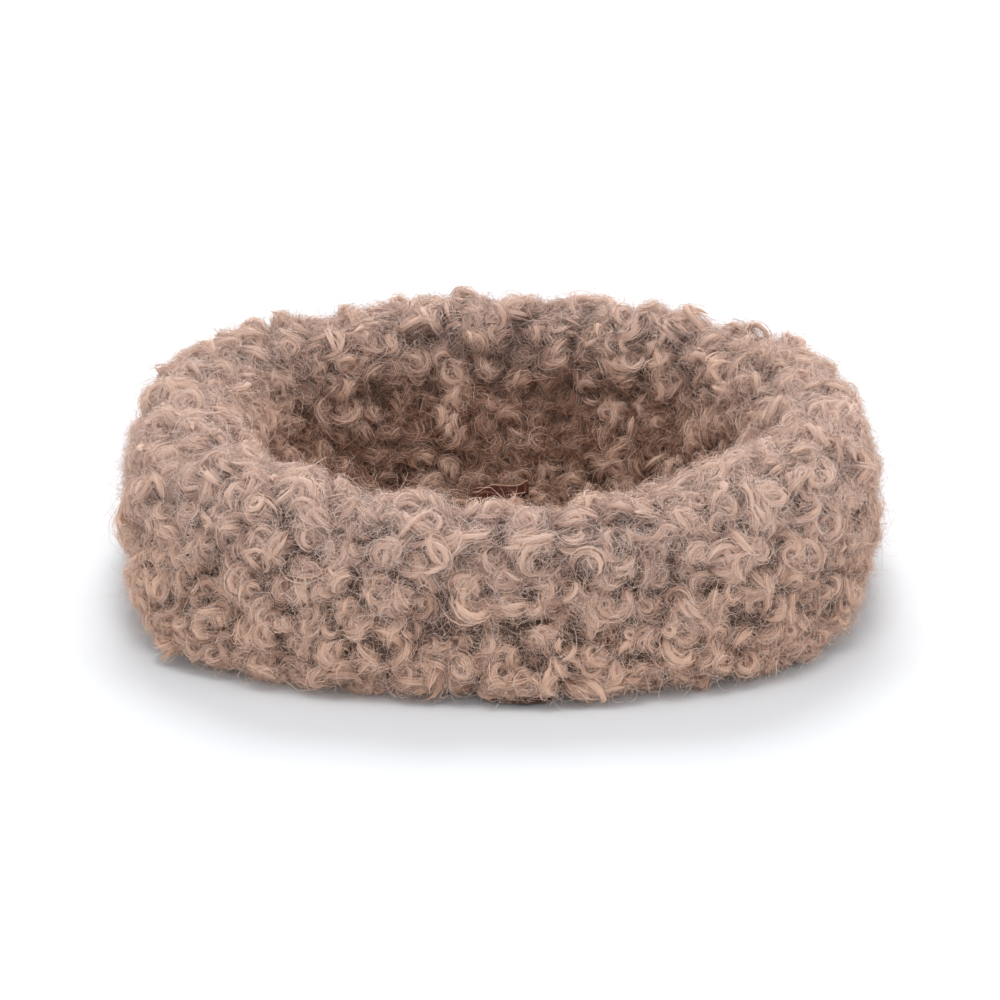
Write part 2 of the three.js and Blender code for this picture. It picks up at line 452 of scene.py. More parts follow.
def bumps(angle, table):
    """The sum at angle of a table's smooth bumps."""
    total = 0
    for middle, reach, height in table:
        off = (np.degrees(angle - FRONT) - middle + 180) % 360 - 180
        total = total + height * np.exp(-((off / reach) ** 2))
    return total


def foot_spread(angle):
    """How far the foot stands out of a plain wall's: most at the front, least at the sides."""
    off = angle - FRONT
    even = FOOT_SPREAD + FOOT_ENDS * np.cos(2 * off) + FOOT_CORNERS * np.cos(4 * off)
    return even + bumps(angle, FOOT_BUMPS)


def smooth_surface(s, angle):
    """Place, direction round the bed, direction along the profile and outward normal."""

    def place(s, angle):
        radius, height = profile.at(np.clip(s, 0, profile.total))
        foot = np.where(s < profile.crest, 1 - smooth(height / FOOT_HEIGHT), 0)
        wall = smooth(height / FOOT_HEIGHT) * (s < profile.floor)
        x, y = plan(radius + foot_spread(angle) * foot + bumps(angle, WALL_BUMPS) * wall, angle)
        return np.stack([x + LEAN * height / WALL_HEIGHT, y, height * sag(angle)], -1)

    step, turn = 0.5, 0.004
    around = unit(place(s, angle + turn) - place(s, angle - turn))
    along = unit(place(s + step, angle) - place(s - step, angle))
    normal = unit(np.cross(around, along))
    return place(s, angle), around, np.cross(normal, around), normal


def surface(s, angle):
    """The same, on the lumpy surface that the curls lie on."""
    point, around, along, normal = smooth_surface(s, angle)
    step = 0.6
    turn = step / np.maximum(profile.at(s)[0] * PLAN_STRETCH, 2)
    here = lump(s, angle)
    slope_along = (lump(s + step, angle) - here) / step
    slope_around = (lump(s, angle + turn) - here) / step
    point = point + normal * here[..., None]
    lean = slope_along[..., None] * along + slope_around[..., None] * around
    normal = unit(normal - np.clip(lean, -STEEPEST, STEEPEST))
    along = unit(np.cross(normal, around))
    return point, np.cross(along, normal), along, normal


# ---------------------------------------------------------------- mesh building


def show(obj, slot, *nodes):
    """Puts a piece in the scene, in place of its CAD nodes."""
    bpy.context.collection.objects.link(obj)
    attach(obj, "root")
    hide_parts(*nodes)
    return obj


def show_padded(obj, slot, node):
    """The same for a padded piece."""
    show(obj, slot, node)


REST_HEIGHT = 1.6  # below this the pile is squashed against what the bed stands on
LAYER_HEIGHT = 0.25  # and it is never lower than this


def rested(points):
    """Points with the ones near and below the floor squashed into a thin layer above it."""
    points = points.copy()
    over = points[:, 2] - REST_HEIGHT
    room = REST_HEIGHT - LAYER_HEIGHT
    squashed = LAYER_HEIGHT + room * np.exp(np.minimum(over, 0) / room)
    points[:, 2] = np.where(over < 0, squashed, points[:, 2])
    return points


def object_from(name, points, quads, material):
    """A smooth-shaded object from vertices in millimetres and quads."""
    mesh = bpy.data.meshes.new(name)
    mesh.vertices.add(len(points))
    mesh.vertices.foreach_set("co", (points * MM).astype(np.float32).ravel())
    mesh.loops.add(quads.size)
    mesh.loops.foreach_set("vertex_index", quads.astype(np.int32).ravel())
    mesh.polygons.add(len(quads))
    mesh.polygons.foreach_set("loop_start", np.arange(0, quads.size, 4, dtype=np.int32))
    mesh.polygons.foreach_set("use_smooth", np.ones(len(quads), bool))
    mesh.update()
    mesh.materials.append(material)
    return bpy.data.objects.new(name, mesh)


class Wool:
    """Tubes and ribbons gathered into one mesh, with what the fleece material reads."""

    def __init__(self):
        self.points, self.quads = [], []
        self.values = {"fibre": [], "tone": [], "painted_depth_shading": [], "pale": []}
        self.count = 0

    def add(self, points, quads, looks):
        """looks holds a value, or a vector under "fibre", for each point."""
        self.points.append(points.reshape(-1, 3))
        self.quads.append(quads.reshape(-1, 4) + self.count)
        for key, value in looks.items():
            width = (3,) if key == "fibre" else ()
            full = np.broadcast_to(value, points.shape[:-1] + width)
            self.values[key].append(full.reshape((-1,) + width))
        self.count += self.points[-1].shape[0]

    def add_tubes(self, rings, looks):
        """rings is (tubes, steps, sides, 3)."""
        self.add(rings, tube_quads(*rings.shape[:3]), looks)

    def add_ribbons(self, middle, edge, looks):
        """middle and edge are (..., steps, 3)."""
        steps = middle.shape[-2]
        points = np.stack([middle - edge, middle + edge], -2)
        ribbons = points.size // (6 * steps)
        first = (np.arange(ribbons)[:, None] * steps + np.arange(steps - 1)) * 2
        quads = np.stack([first, first + 1, first + 3, first + 2], -1)
        wide = {
            key: np.asarray(value)[..., None, :] if key == "fibre" else np.asarray(value)[..., None]
            for key, value in looks.items()
        }
        self.add(points, quads, wide)

    def build(self, name):
        """One fleece object of all that was added."""
        points = rested(np.concatenate(self.points))
        obj = object_from(name, points, np.concatenate(self.quads), FLEECE)
        for key, parts in self.values.items():
            kind, field = ("FLOAT_VECTOR", "vector") if key == "fibre" else ("FLOAT", "value")
            layer = obj.data.attributes.new(key, kind, "POINT")
            layer.data.foreach_set(field, np.concatenate(parts).astype(np.float32).ravel())
        return obj


# ---------------------------------------------------------------- locks of wool

PILE_DEPTH = 7.0  # from the lowest wool to the curls' tops
BACKING_DEPTH = PILE_DEPTH - 1.0
# painted shade inside the nest, darkest towards its floor
INSIDE_SHADE, DIMMED_BY = 0.74, 0.8  # the second is a share of the way down to the floor
# painted shade in the creases inside the nest, over that outside it
INSIDE_CREASE_SHADE = 1.1
BRIGHTEST = 1.2  # where 1 is a curl's top on the wall
# painted sheen at the rim; RIM_REACH is also how far the inside's painted crease shade reaches from the
# crest
RIM_SHEEN, RIM_REACH = 0.34, 36
CORE_STEPS, CORE_SIDES, CORE_END = 9, 6, 0.92
CORE_SHARE, RIM_CORE_SHARE = 0.6, 0.48  # of a lock's girth
# cores are coloured darker and less pale than their lock: painted shade between its strands
CORE_SHADED_TONE, CORE_PALENESS = 0.55, 0.6  # of its lock's
STRANDS, STRAND_STEPS = 28, 8
FRAYED_SHARE, RIM_FRAYED_SHARE = 0.45, 0.6
PATH_STEPS = 48
ROOT_DEPTH = 4.0  # a lock's root under its curl
FLATNESS = 0.85  # a lock's thickness over its width
RINGLET = {"length": 21, "turn": 390, "width": 1.5}
TUFT = {"length": 13.5, "turn": 190, "width": 2.45}
SIZE_SPREAD = (-0.45, 0.35)  # of the logarithm of a lock's size
RIM_SIZE = 0.25  # the locks are so much larger at the rim
MOST_TILT = 1.4  # radians
ROUND_TUFT_SHARE = 0.7  # the rest of the locks lie any way

# plump runs from ringlet to tuft; top is the lock's height over the surface, in millimetres;
# tilt is in degrees; and tuck is how far the tip dips back into the pile
CURLS = {"plump": (0.0, 1.0), "top": (-1.8, 1.0), "tilt": 18, "tuck": (0.5, 3.0)}
STRAYS = {"plump": (0.0, 0.4), "top": (1.0, 3.4), "tilt": 70, "tuck": (0.0, 0.5)}
OVER_TAG = {"plump": (0.1, 0.7), "top": (0.0, 1.2), "tilt": 12, "tuck": (1.0, 3.0)}


def shade_at(s):
    """Painted shade: the nest's inside is coloured dimmer than its rim, more towards its floor."""
    way_down = (s - profile.crest) / (profile.floor - profile.crest)
    return INSIDE_SHADE * smooth(way_down / DIMMED_BY)


def painted_crease_depth(s):
    """How much faster the painted shade darkens the wool into the pile inside the nest than outside it.
    """
    return 1 + INSIDE_CREASE_SHADE * smooth(0.3 + (s - profile.crest) / RIM_REACH)


def painted_rim_sheen(s):
    """Painted sheen: the wool is coloured a little paler at the rim, where light catches its tips."""
    return RIM_SHEEN * np.exp(-(((s - profile.crest) / RIM_REACH) ** 2))


class Locks:
    """A set of curled locks, all worked out together."""

    def __init__(self, places, random, style):
        self.random = random
        self.number = len(places)
        plump = self.draw(*style["plump"])
        self.at_rim = rimness(places[:, 0])
        size = np.exp(self.draw(*SIZE_SPREAD)) * (1 + RIM_SIZE * self.at_rim)
        self.base, around, along, self.normal = surface(places[:, 0], places[:, 1])
        self.smooth_base, _, _, self.smooth_normal = smooth_surface(places[:, 0], places[:, 1])
        self.shade = shade_at(places[:, 0])
        self.pale = painted_rim_sheen(places[:, 0])
        self.crease = painted_crease_depth(places[:, 0]) / PILE_DEPTH
        self.length, turn, self.width = (
            RINGLET[key] + (TUFT[key] - RINGLET[key]) * plump for key in ("length", "turn", "width")
        )
        self.length = self.length * size
        self.width = self.width * size
        self.turn = np.radians(turn * self.draw(0.65, 1.25)) * random.choice([-1, 1], self.number)
        self.tighten = self.draw(0.9, 1.4)
        self.tuck = self.draw(*style["tuck"])
        self.twist = random.normal(0, 1.6, self.number)
        self.tone = np.clip(random.normal(0.5, 0.17, self.number), 0, 1)
        self.noise_place = random.uniform(-500, 500, (self.number, 3))
        heading = self.heading(places)[:, None]
        tilt = np.abs(random.normal(0, math.radians(style["tilt"]), self.number))
        tilt = np.clip(tilt, 0, MOST_TILT)
        curl_radius = self.length / np.abs(self.turn)
        below = FLATNESS * self.width + 0.9 * curl_radius * np.sin(tilt)
        self.depth = self.draw(*style["top"]) - below
        tilt = tilt[:, None]
        self.side = around * np.cos(heading) + along * np.sin(heading)
        self.across = np.cross(self.normal, self.side) * np.cos(tilt) + self.normal * np.sin(tilt)
        self.axis = np.cross(self.side, self.across)
        self.trace_path()

    def draw(self, low, high):
        return self.random.uniform(low, high, self.number)

    def heading(self, places):
        """Most locks curl round the tuft that they lie on; the rest go any way."""
        _, away_around, away_s = puffs.look(places[:, 0], places[:, 1])
        round_tuft = np.arctan2(away_around, -away_s) + np.where(self.turn > 0, 0, math.pi)
        round_tuft = round_tuft + self.random.normal(0, 0.4, self.number)
        any_way = self.draw(0, 2 * math.pi)
        return np.where(self.random.random(self.number) < ROUND_TUFT_SHARE, round_tuft, any_way)

    def trace_path(self):
        """The curl in its own plane: a path that turns faster towards its tip and sways."""
        self.fine = np.linspace(0, 1, PATH_STEPS)[None, :]
        sway = self.draw(-0.6, 0.6)[:, None] * np.sin(2 * math.pi * self.fine)
        self.path_angle = self.turn[:, None] * self.fine ** self.tighten[:, None] + sway
        step = self.length[:, None] / self.fine.size
        x = np.cumsum(np.cos(self.path_angle), 1) * step
        y = np.cumsum(np.sin(self.path_angle), 1) * step
        self.path_x = x - x.mean(1, keepdims=True)
        self.path_y = y - y.mean(1, keepdims=True)

    def sample(self, u):
        """Centre and sideways direction at u, which is (number, steps)."""
        grid = np.clip(u, 0, 1) * (self.fine.size - 1)
        low = np.clip(grid.astype(int), 0, self.fine.size - 2)
        part = grid - low
        rows = np.arange(self.number)[:, None]
        x, y, angle = (
            table[rows, low] * (1 - part) + table[rows, low + 1] * part
            for table in (self.path_x, self.path_y, self.path_angle)
        )
        rooted = ROOT_DEPTH * (1 - smooth(u / 0.3))
        tucked = self.tuck[:, None] * smooth((u - 0.65) / 0.35)
        height = self.depth[:, None] - rooted - tucked
        centre = (
            self.base[:, None]
            + x[..., None] * self.side[:, None]
            + y[..., None] * self.across[:, None]
            + height[..., None] * self.normal[:, None]
        )
        c, s = np.cos(angle)[..., None], np.sin(angle)[..., None]
        outward = -np.sign(self.turn)[:, None, None]
        return centre, outward * (c * self.across[:, None] - s * self.side[:, None])

    def girth(self, u):
        """Half the lock's width at u: it swells from the root and draws in a little at the tip."""
        return self.width[:, None] * (0.7 + 0.3 * smooth(u / 0.35) - 0.35 * smooth((u - 0.65) / 0.35))

    def painted_depth_shading(self, points):
        """Painted shade by how far out of the pile points are: 0 at the backing and 1 at the curls'
        tops, darker in the creases inside the nest and towards its floor.
        """
        shape = (self.number,) + (1,) * (points.ndim - 2) + (3,)
        out = np.sum((points - self.smooth_base.reshape(shape)) * self.smooth_normal.reshape(shape), -1)
        shade, crease = (v.reshape(shape[:-1]) for v in (self.shade, self.crease))
        return np.clip(1 + out * crease - shade, 0, BRIGHTEST)

    def add_cores(self, wool):
        """A tube down the middle of each lock, closed at both ends, so that no lock is hollow."""
        u = np.repeat(np.linspace(0, CORE_END, CORE_STEPS)[None, :], self.number, 0)
        centre, sideways = self.sample(u)
        turn = whole_turn(CORE_SIDES)
        closed = np.minimum(smooth(0.1 + u / 0.15), 1 - smooth((u - 0.7) / 0.25))
        share = CORE_SHARE + (RIM_CORE_SHARE - CORE_SHARE) * self.at_rim[:, None]
        reach = share * self.girth(u) * closed
        across = reach[..., None] * np.cos(turn)
        through = reach[..., None] * FLATNESS * np.sin(turn)
        rings = (
            centre[:, :, None]
            + across[..., None] * sideways[:, :, None]
            + through[..., None] * self.axis[:, None, None]
        )
        run = np.broadcast_to((u * self.length[:, None] * 0.25)[..., None], across.shape)
        # the core's darker tone is painted shade inside the lock
        looks = {
            "fibre": np.stack([across * 3, through * 3, run], -1) + self.noise_place[:, None, None],
            "tone": self.tone[:, None, None] * CORE_SHADED_TONE,
            "painted_depth_shading": self.painted_depth_shading(rings),
            "pale": self.pale[:, None, None] * CORE_PALENESS,
        }
        wool.add_tubes(rings, looks)

    def add_strands(self, wool):
        """Fine strands that fill the lock, wander a little and fray at its ends."""
        random = self.random
        shape = (self.number, STRANDS, 1)
        start = random.uniform(0.0, 0.25, shape)
        end = random.uniform(0.7, 1.0, shape)
        u = start + (end - start) * np.linspace(0, 1, STRAND_STEPS)
        flat = u.reshape(self.number, -1)
        centre, sideways = (v.reshape(*u.shape, 3) for v in self.sample(flat))
        girth = self.girth(flat).reshape(u.shape)
        share = FRAYED_SHARE + (RIM_FRAYED_SHARE - FRAYED_SHARE) * self.at_rim[:, None, None]
        frayed = random.uniform(0.3, 2.2, shape) * (random.random(shape) < share)
        from_tip = random.random(shape) < 0.7
        fray = np.where(from_tip, smooth((u - 0.35) / 0.6), 1 - smooth(u / 0.6))
        spread = np.sqrt(random.uniform(0.45, 1.25, shape)) + frayed * fray
        wander = 0.4 * np.sin(u * random.uniform(3, 11, shape) + random.uniform(0, 6.3, shape))
        turn = random.uniform(0, 2 * math.pi, shape) + self.twist[:, None, None] * u + wander
        c, s = np.cos(turn)[..., None], np.sin(turn)[..., None]
        reach = (girth * spread)[..., None]
        axis = self.axis[:, None, None]
        outward = c * sideways + FLATNESS * s * axis
        middle = centre + reach * outward
        roll = random.normal(0, 0.8, shape)[..., None]
        tangent = unit(FLATNESS * c * axis - s * sideways)
        edge = np.cos(roll) * tangent + np.sin(roll) * outward
        taper = 0.3 + 0.7 * np.sin(math.pi * np.linspace(0.1, 0.97, STRAND_STEPS))
        half = random.uniform(0.05, 0.12, shape) * taper
        place = np.broadcast_to(random.uniform(-50, 50, shape[:2] + (1, 2)), u.shape + (2,))
        looks = {
            "fibre": np.concatenate([place, (u * self.length[:, None, None] * 0.2)[..., None]], -1),
            "tone": self.tone[:, None, None] + random.normal(0.2, 0.22, shape),
            "painted_depth_shading": self.painted_depth_shading(middle),
            "pale": np.clip(random.normal(0.05, 0.15, shape) + self.pale[:, None, None], 0, 1) + 0 * u,
        }
        wool.add_ribbons(middle, half[..., None] * edge, looks)


# lengths, depths over the surface and half widths in millimetres; curl in radians
# pale mixes a hair towards PALE_HAIR: partly the hairs' own paler colour, partly painted glow of light
# through fine hairs
FUZZ = {"steps": 6, "length": (3.5, 9), "depth": (-2.6, 1.6), "half": (0.035, 0.07),
        "pale": (0.0, 0.6), "curl": 4.5}
UNDER_FUZZ = {"steps": 5, "length": (4, 9), "depth": (-5.5, -1.4), "half": (0.09, 0.16),
              "pale": (0.0, 0.15), "curl": 4.0}
FLYAWAY = {"steps": 14, "length": (12, 26), "depth": (0.0, 2.6), "half": (0.035, 0.06),
           "pale": (0.2, 0.9), "curl": 5.5}


def add_hairs(wool, places, random, style):
    """Single loose hairs that arc this way and that."""
    number = len(places)

    def draw(low, high):
        return random.uniform(low, high, (number, 1))

    base, around, along, normal = surface(places[:, 0], places[:, 1])
    heading, tilt = draw(0, 2 * math.pi), draw(0, 1.5)
    first = around * np.cos(heading) + along * np.sin(heading)
    second = np.cross(normal, first) * np.cos(tilt) + normal * np.sin(tilt)
    steps = style["steps"]
    u = np.linspace(0, 1, steps)
    angle = draw(-1, 1) * style["curl"] * u + draw(-1.2, 1.2) * np.sin(2 * math.pi * u + heading)
    step = draw(*style["length"]) / (steps - 1)
    x = np.cumsum(np.cos(angle), 1) * step
    y = np.cumsum(np.sin(angle), 1) * step
    middle = (
        base[:, None]
        + (x - x.mean(1, keepdims=True))[..., None] * first[:, None]
        + (y - y.mean(1, keepdims=True))[..., None] * second[:, None]
        + draw(*style["depth"])[..., None] * normal[:, None]
    )
    facing = unit(random.normal(0, 1, (number, 1, 3)) + 0.6 * normal[:, None])
    edge = unit(np.cross(np.gradient(middle, axis=1), facing))
    half = draw(*style["half"]) * np.sqrt(np.sin(math.pi * np.linspace(0.05, 0.95, steps)))
    smooth_base, _, _, smooth_normal = smooth_surface(places[:, 0], places[:, 1])
    out = np.sum((middle - smooth_base[:, None]) * smooth_normal[:, None], -1)
    s = places[:, :1]
    painted_depth_shading = 1 + out * painted_crease_depth(s) / PILE_DEPTH - shade_at(s)
    looks = {
        "fibre": random.uniform(-50, 50, (number, 1, 3)) + u[:, None] * 2,
        "tone": draw(0.15, 0.8) + 0 * u,
        "painted_depth_shading": np.clip(painted_depth_shading, 0, BRIGHTEST),
        # hairs are painted less pale inside the nest by its painted shade, and paler at the rim by the
        # painted sheen
        "pale": draw(*style["pale"]) * (1 - 2 * shade_at(s)) + painted_rim_sheen(s) + 0 * u,
    }
    wool.add_ribbons(middle, edge * half[..., None], looks)


# ---------------------------------------------------------------- the pile, in bands

BAND_AREA = 4200  # square millimetres, so that a band stays a manageable mesh
LOCK_SPACING, LOCK_JITTER = 4.4, 0.45
HAIRS = [(1.1, FUZZ), (1.5, UNDER_FUZZ), (5.8, FLYAWAY)]  # spacing and style
HAIR_JITTER = 0.6


def pile_band(name, low, high, seed):
    """Curls and hairs all round the bed, between two places on the profile."""
    random = np.random.default_rng(seed)
    wool = Wool()
    locks = Locks(scatter(LOCK_SPACING, LOCK_JITTER, low, high, random), random, CURLS)
    locks.add_cores(wool)
    locks.add_strands(wool)
    for spacing, style in HAIRS:
        add_hairs(wool, scatter(spacing, HAIR_JITTER, low, high, random), random, style)
    return wool.build(name)


def pile(label, low, high, node, slot, seed):
    """Rings of curls of about equal area between two places on the profile."""
    s = np.linspace(low, high, 600)
    radius = profile.at(s)[0]
    area = np.concatenate([[0], np.cumsum(np.diff(s) * radius[1:])]) * 2 * math.pi * PLAN_STRETCH
    count = math.ceil(area[-1] / BAND_AREA)
    edges = np.interp(np.linspace(0, area[-1], count + 1), area, s)
    for i in range(count):
        show_padded(pile_band(f"{label}_{i + 1}", edges[i], edges[i + 1], seed + i), slot, node)


pile("outer_fleece", 0, profile.crest, "outer_wall_cover", "outer_fleece", 100)
pile("inner_fleece", profile.crest, profile.floor, "inner_wall_cover", "inner_fleece", 200)
pile("floor_fleece", profile.floor, profile.total - 1, "floor_cover", "floor_fleece", 300)


def placed_locks(name, places, style, slot, node, seed):
    """Locks at chosen (s, angle) places."""
    wool = Wool()
    locks = Locks(np.array(places), np.random.default_rng(seed), style)
    locks.add_cores(wool)
    locks.add_strands(wool)
    show_padded(wool.build(name), slot, node)


STRAY_TUFTS = [  # degrees round the bed, millimetres from the rim, how many
    ((95, 99), (-5, 4), 3),
    ((55, 60), (-6, 3), 3),
    ((39, 47), (-10, 2), 6),
    ((140, 150), (-12, 0), 5),
    ((154, 160), (-12, -2), 3),
]


def stray_locks():
    """Longer locks that stand clear of the rest, at the rim and here and there on the wall."""
    random = np.random.default_rng(41)
    all_round = (0, 6.28)
    around_rim = [(profile.crest + random.uniform(-14, 8), a) for a in random.uniform(*all_round, 34)]
    on_wall = [(random.uniform(20, profile.crest), a) for a in random.uniform(*all_round, 30)]
    gathered = [
        (profile.crest + random.uniform(*reach), math.radians(random.uniform(*degrees)))
        for degrees, reach, count in STRAY_TUFTS
        for _ in range(count)
    ]
    places = around_rim + on_wall + gathered
    placed_locks("stray_locks", places, STRAYS, "outer_fleece", "outer_wall_cover", 42)


stray_locks()


def skin_grid(s, columns):
    """Points and normals of the smooth surface all round the bed, at the places s."""
    angle = whole_turn(columns)
    point, _, _, normal = smooth_surface(s[:, None] + 0 * angle, angle + 0 * s[:, None])
    return point, normal


def backing(name, low, high, node, slot, rows=36, columns=220):
    """The knitted cloth that the curls grow from."""
    point, normal = skin_grid(np.linspace(low, high, rows), columns)
    point = point - BACKING_DEPTH * normal
    point[..., 2] = np.maximum(point[..., 2], REST_HEIGHT)
    quads = grid_quads(rows, columns, wrap_columns=True)
    show_padded(object_from(name, point.reshape(-1, 3), quads, BACKING), slot, node)


backing("outer_backing", 0, profile.crest, "outer_wall_cover", "outer_fleece")
backing("inner_backing", profile.crest, profile.floor, "inner_wall_cover", "inner_fleece")
backing("floor_backing", profile.floor, profile.total, "floor_cover", "floor_fleece")

# ---------------------------------------------------------------- filling, underside and tag


def ripple(points, size, wavelength, seed):
    """A small uneven height for each point: twelve random waves through space, summed."""
    random = np.random.default_rng(seed)
    count = 12
    total = np.zeros(points.shape[:-1])
    for _ in range(count):
        way = unit(random.normal(0, 1, 3)) * 2 * math.pi / (wavelength * random.uniform(0.6, 1.8))
        total = total + np.sin(points @ way + random.uniform(0, 2 * math.pi))
    return size * total / math.sqrt(count)


def wall_filling():
    """Loose fibre that stuffs the wall: the wall's own section, drawn in from its covers."""
    rows, columns, inset, lowest = 60, 260, 9.0, 2.0
    point, normal = skin_grid(np.linspace(10, profile.floor - 6, rows), columns)
    uneven = ripple(point, size=0.6, wavelength=9, seed=7)
    point = point - (inset + uneven)[..., None] * normal
    point[..., 2] = np.maximum(point[..., 2], lowest)
    quads = grid_quads(rows, columns, wrap_rows=True, wrap_columns=True)
    obj = object_from("wall_stuffing", point.reshape(-1, 3), quads, BATTING)
    show_padded(obj, "filling", "wall_filling")


def slab(name, middle, thickness, material, wrap=False):
    """A thin closed sheet round a grid of points: rows run out, columns run across.

    With wrap, the columns run round the bed and meet.
    """
    around = np.gradient(middle, axis=1)
    if wrap:
        around = np.roll(middle, -1, 1) - np.roll(middle, 1, 1)
    normal = unit(np.cross(around, np.gradient(middle, axis=0)))
    top = middle + normal * thickness / 2
    bottom = middle - normal * thickness / 2
    rows, columns, _ = middle.shape
    if wrap:
        rings = np.concatenate([top, bottom[::-1]])
        quads = grid_quads(2 * rows, columns, wrap_rows=True, wrap_columns=True)
        return object_from(name, rings.reshape(-1, 3), quads, material)
    tube = np.concatenate([top, bottom[:, ::-1]], 1)
    quads = grid_quads(rows, 2 * columns, wrap_columns=True)
    ends = []
    for row in (0, rows - 1):
        first = row * 2 * columns
        for column in range(columns - 1):
            other = 2 * columns - 1 - column
            ends.append([first + column, first + column + 1, first + other - 1, first + other])
    return object_from(name, tube.reshape(-1, 3), np.concatenate([quads, np.array(ends)]), material)


def disc(radii, height, columns=260):
    """Rings of points of the bed's plan; radii and height are (rows,) or (rows, columns)."""
    angle = whole_turn(columns)
    radii, height = (np.atleast_2d(v.T).T + 0 * angle for v in (radii, height))
    return np.stack([*plan(radii, angle + 0 * radii), height], -1)


def floor_filling():
    """A thin pad of fibre between the floor cover and the underside."""
    rows, height, thickness = 50, 2.3, 1.0
    middle = disc(np.linspace(0.5, FLOOR_RADIUS - 1, rows), np.full(rows, height))
    middle[..., 2] += ripple(middle, size=0.15, wavelength=14, seed=8)
    obj = slab("floor_stuffing", middle, thickness, BATTING, wrap=True)
    show_padded(obj, "filling", "floor_filling")


# where the panel shows at the front: its middle, half its width, how far out and how high
SLIVER = {"x": 6, "half_width": 13, "reach": 18.4, "lift": 0.5}
SLOT_Y, SLOT_HALF = 88, 29
SLOT_REACH, SLOT_PINCH = 1.4, 0.5
PANEL_HEIGHT, PANEL_THICKNESS = 0.75, 0.7
PUCKERS, PUCKER_HEIGHT = 96, 0.35


def underside():
    """The suede panel, puckered along its seam; its edge shows a little at the front."""
    rows, columns = 60, 420
    share = np.linspace(0.004, 1, rows)[:, None]
    angle = whole_turn(columns)
    pucker = 0.5 + 0.5 * np.sin(angle * PUCKERS + 3 * np.sin(angle * 7))
    x = BASE_RADIUS * np.cos(angle)
    at_front = np.exp(-(((x - SLIVER["x"]) / SLIVER["half_width"]) ** 4)) * (np.sin(angle) < 0)
    at_front = at_front * (0.9 + 0.1 * pucker)
    radii = share * (BASE_RADIUS - 0.4) + SLIVER["reach"] * at_front * smooth((share - 0.85) / 0.15)
    by_the_seam = smooth((share - 0.9) / 0.1)
    height = PANEL_HEIGHT + (PUCKER_HEIGHT * pucker + SLIVER["lift"] * at_front) * by_the_seam
    middle = disc(radii, height, columns)
    middle[..., 2] += ripple(middle, size=0.1, wavelength=22, seed=9)
    off_slot = (middle[..., 1] - SLOT_Y) / SLOT_REACH
    middle[..., 2] += SLOT_PINCH * np.exp(-(off_slot**2)) * (np.abs(middle[..., 0]) < SLOT_HALF)
    sheet = slab("underside_panel", middle, PANEL_THICKNESS, SUEDE, wrap=True)
    panel = show(sheet, "base_cloth", "underside_cover")


underside()


def hem_fibres():
    """Wool from the base seam that strays over the panel's edge."""
    random = np.random.default_rng(61)
    count = 260
    places = np.stack([random.uniform(2, 14, count), FRONT + random.uniform(-0.06, 0.16, count)], -1)
    wool = Wool()
    add_hairs(wool, places, random, UNDER_FUZZ | {"half": (0.03, 0.07), "depth": (-3.0, 0.4)})
    show_padded(wool.build("hem_fibres"), "outer_fleece", "outer_wall_cover")


hem_fibres()
wall_filling()
floor_filling()

TAG_THICKNESS = 0.45
CORNER_CURL, EDGE_DROOP = 1.6, 2.6  # of the free end's right corner and left edge


def tag():
    """A short satin ribbon: it comes up out of the pile, lies on it and curls at one corner."""
    across = np.linspace(-TAG_HALF_WIDTH, TAG_HALF_WIDTH, 31)
    line = bezier((TAG_ROOT - 1, 5.6), (TAG_ROOT - 13, 6.2),
                  (TAG_END + 14, 14.4), (TAG_END - 1.5, 10.0), 44)
    y, height = (v[:, None] + 0 * across for v in line.T)
    x = across + 0 * y
    free = smooth(np.linspace(-0.2, 1, len(line))[:, None] / 0.6)
    curl = CORNER_CURL * smooth((x - 6) / 4) ** 1.5 * free
    droop = EDGE_DROOP * smooth((-x - 2) / 8) * free
    height = height + curl - droop + 0.2 * np.sin(x * 0.55 + free * 3)
    middle = np.stack([x, y, height], -1)
    ribbon = show(slab("ribbon_tag", middle, TAG_THICKNESS, SATIN), "tag", "tag")


tag()


def wool_over_tag():
    """Curls that hide the tag's root, and stray fibres across the ribbon."""
    random = np.random.default_rng(51)
    emerges = profile.total - TAG_END - 15
    curls = [(emerges + random.uniform(-10, -3), BACK + a) for a in np.linspace(-0.2, 0.2, 12)]
    placed_locks("curls_over_tag", curls, OVER_TAG, "floor_fleece", "floor_cover", 52)
    count = 7
    fibres = np.stack([emerges + random.uniform(0, 12, count),
                       BACK + random.uniform(-0.16, 0.16, count)], -1)
    wool = Wool()
    add_hairs(wool, fibres, random, FLYAWAY | {"depth": (4.5, 6.5), "pale": (0.3, 1.0)})
    show_padded(wool.build("fibres_over_tag"), "floor_fleece", "floor_cover")


wool_over_tag()

# ---------------------------------------------------------------- stitches

STITCH_PITCH, STITCH_LENGTH, STITCH_RADIUS = 3.4, 2.7, 0.3
STITCH_ARCH = 0.35
STITCH_STEPS, STITCH_SIDES = 8, 6


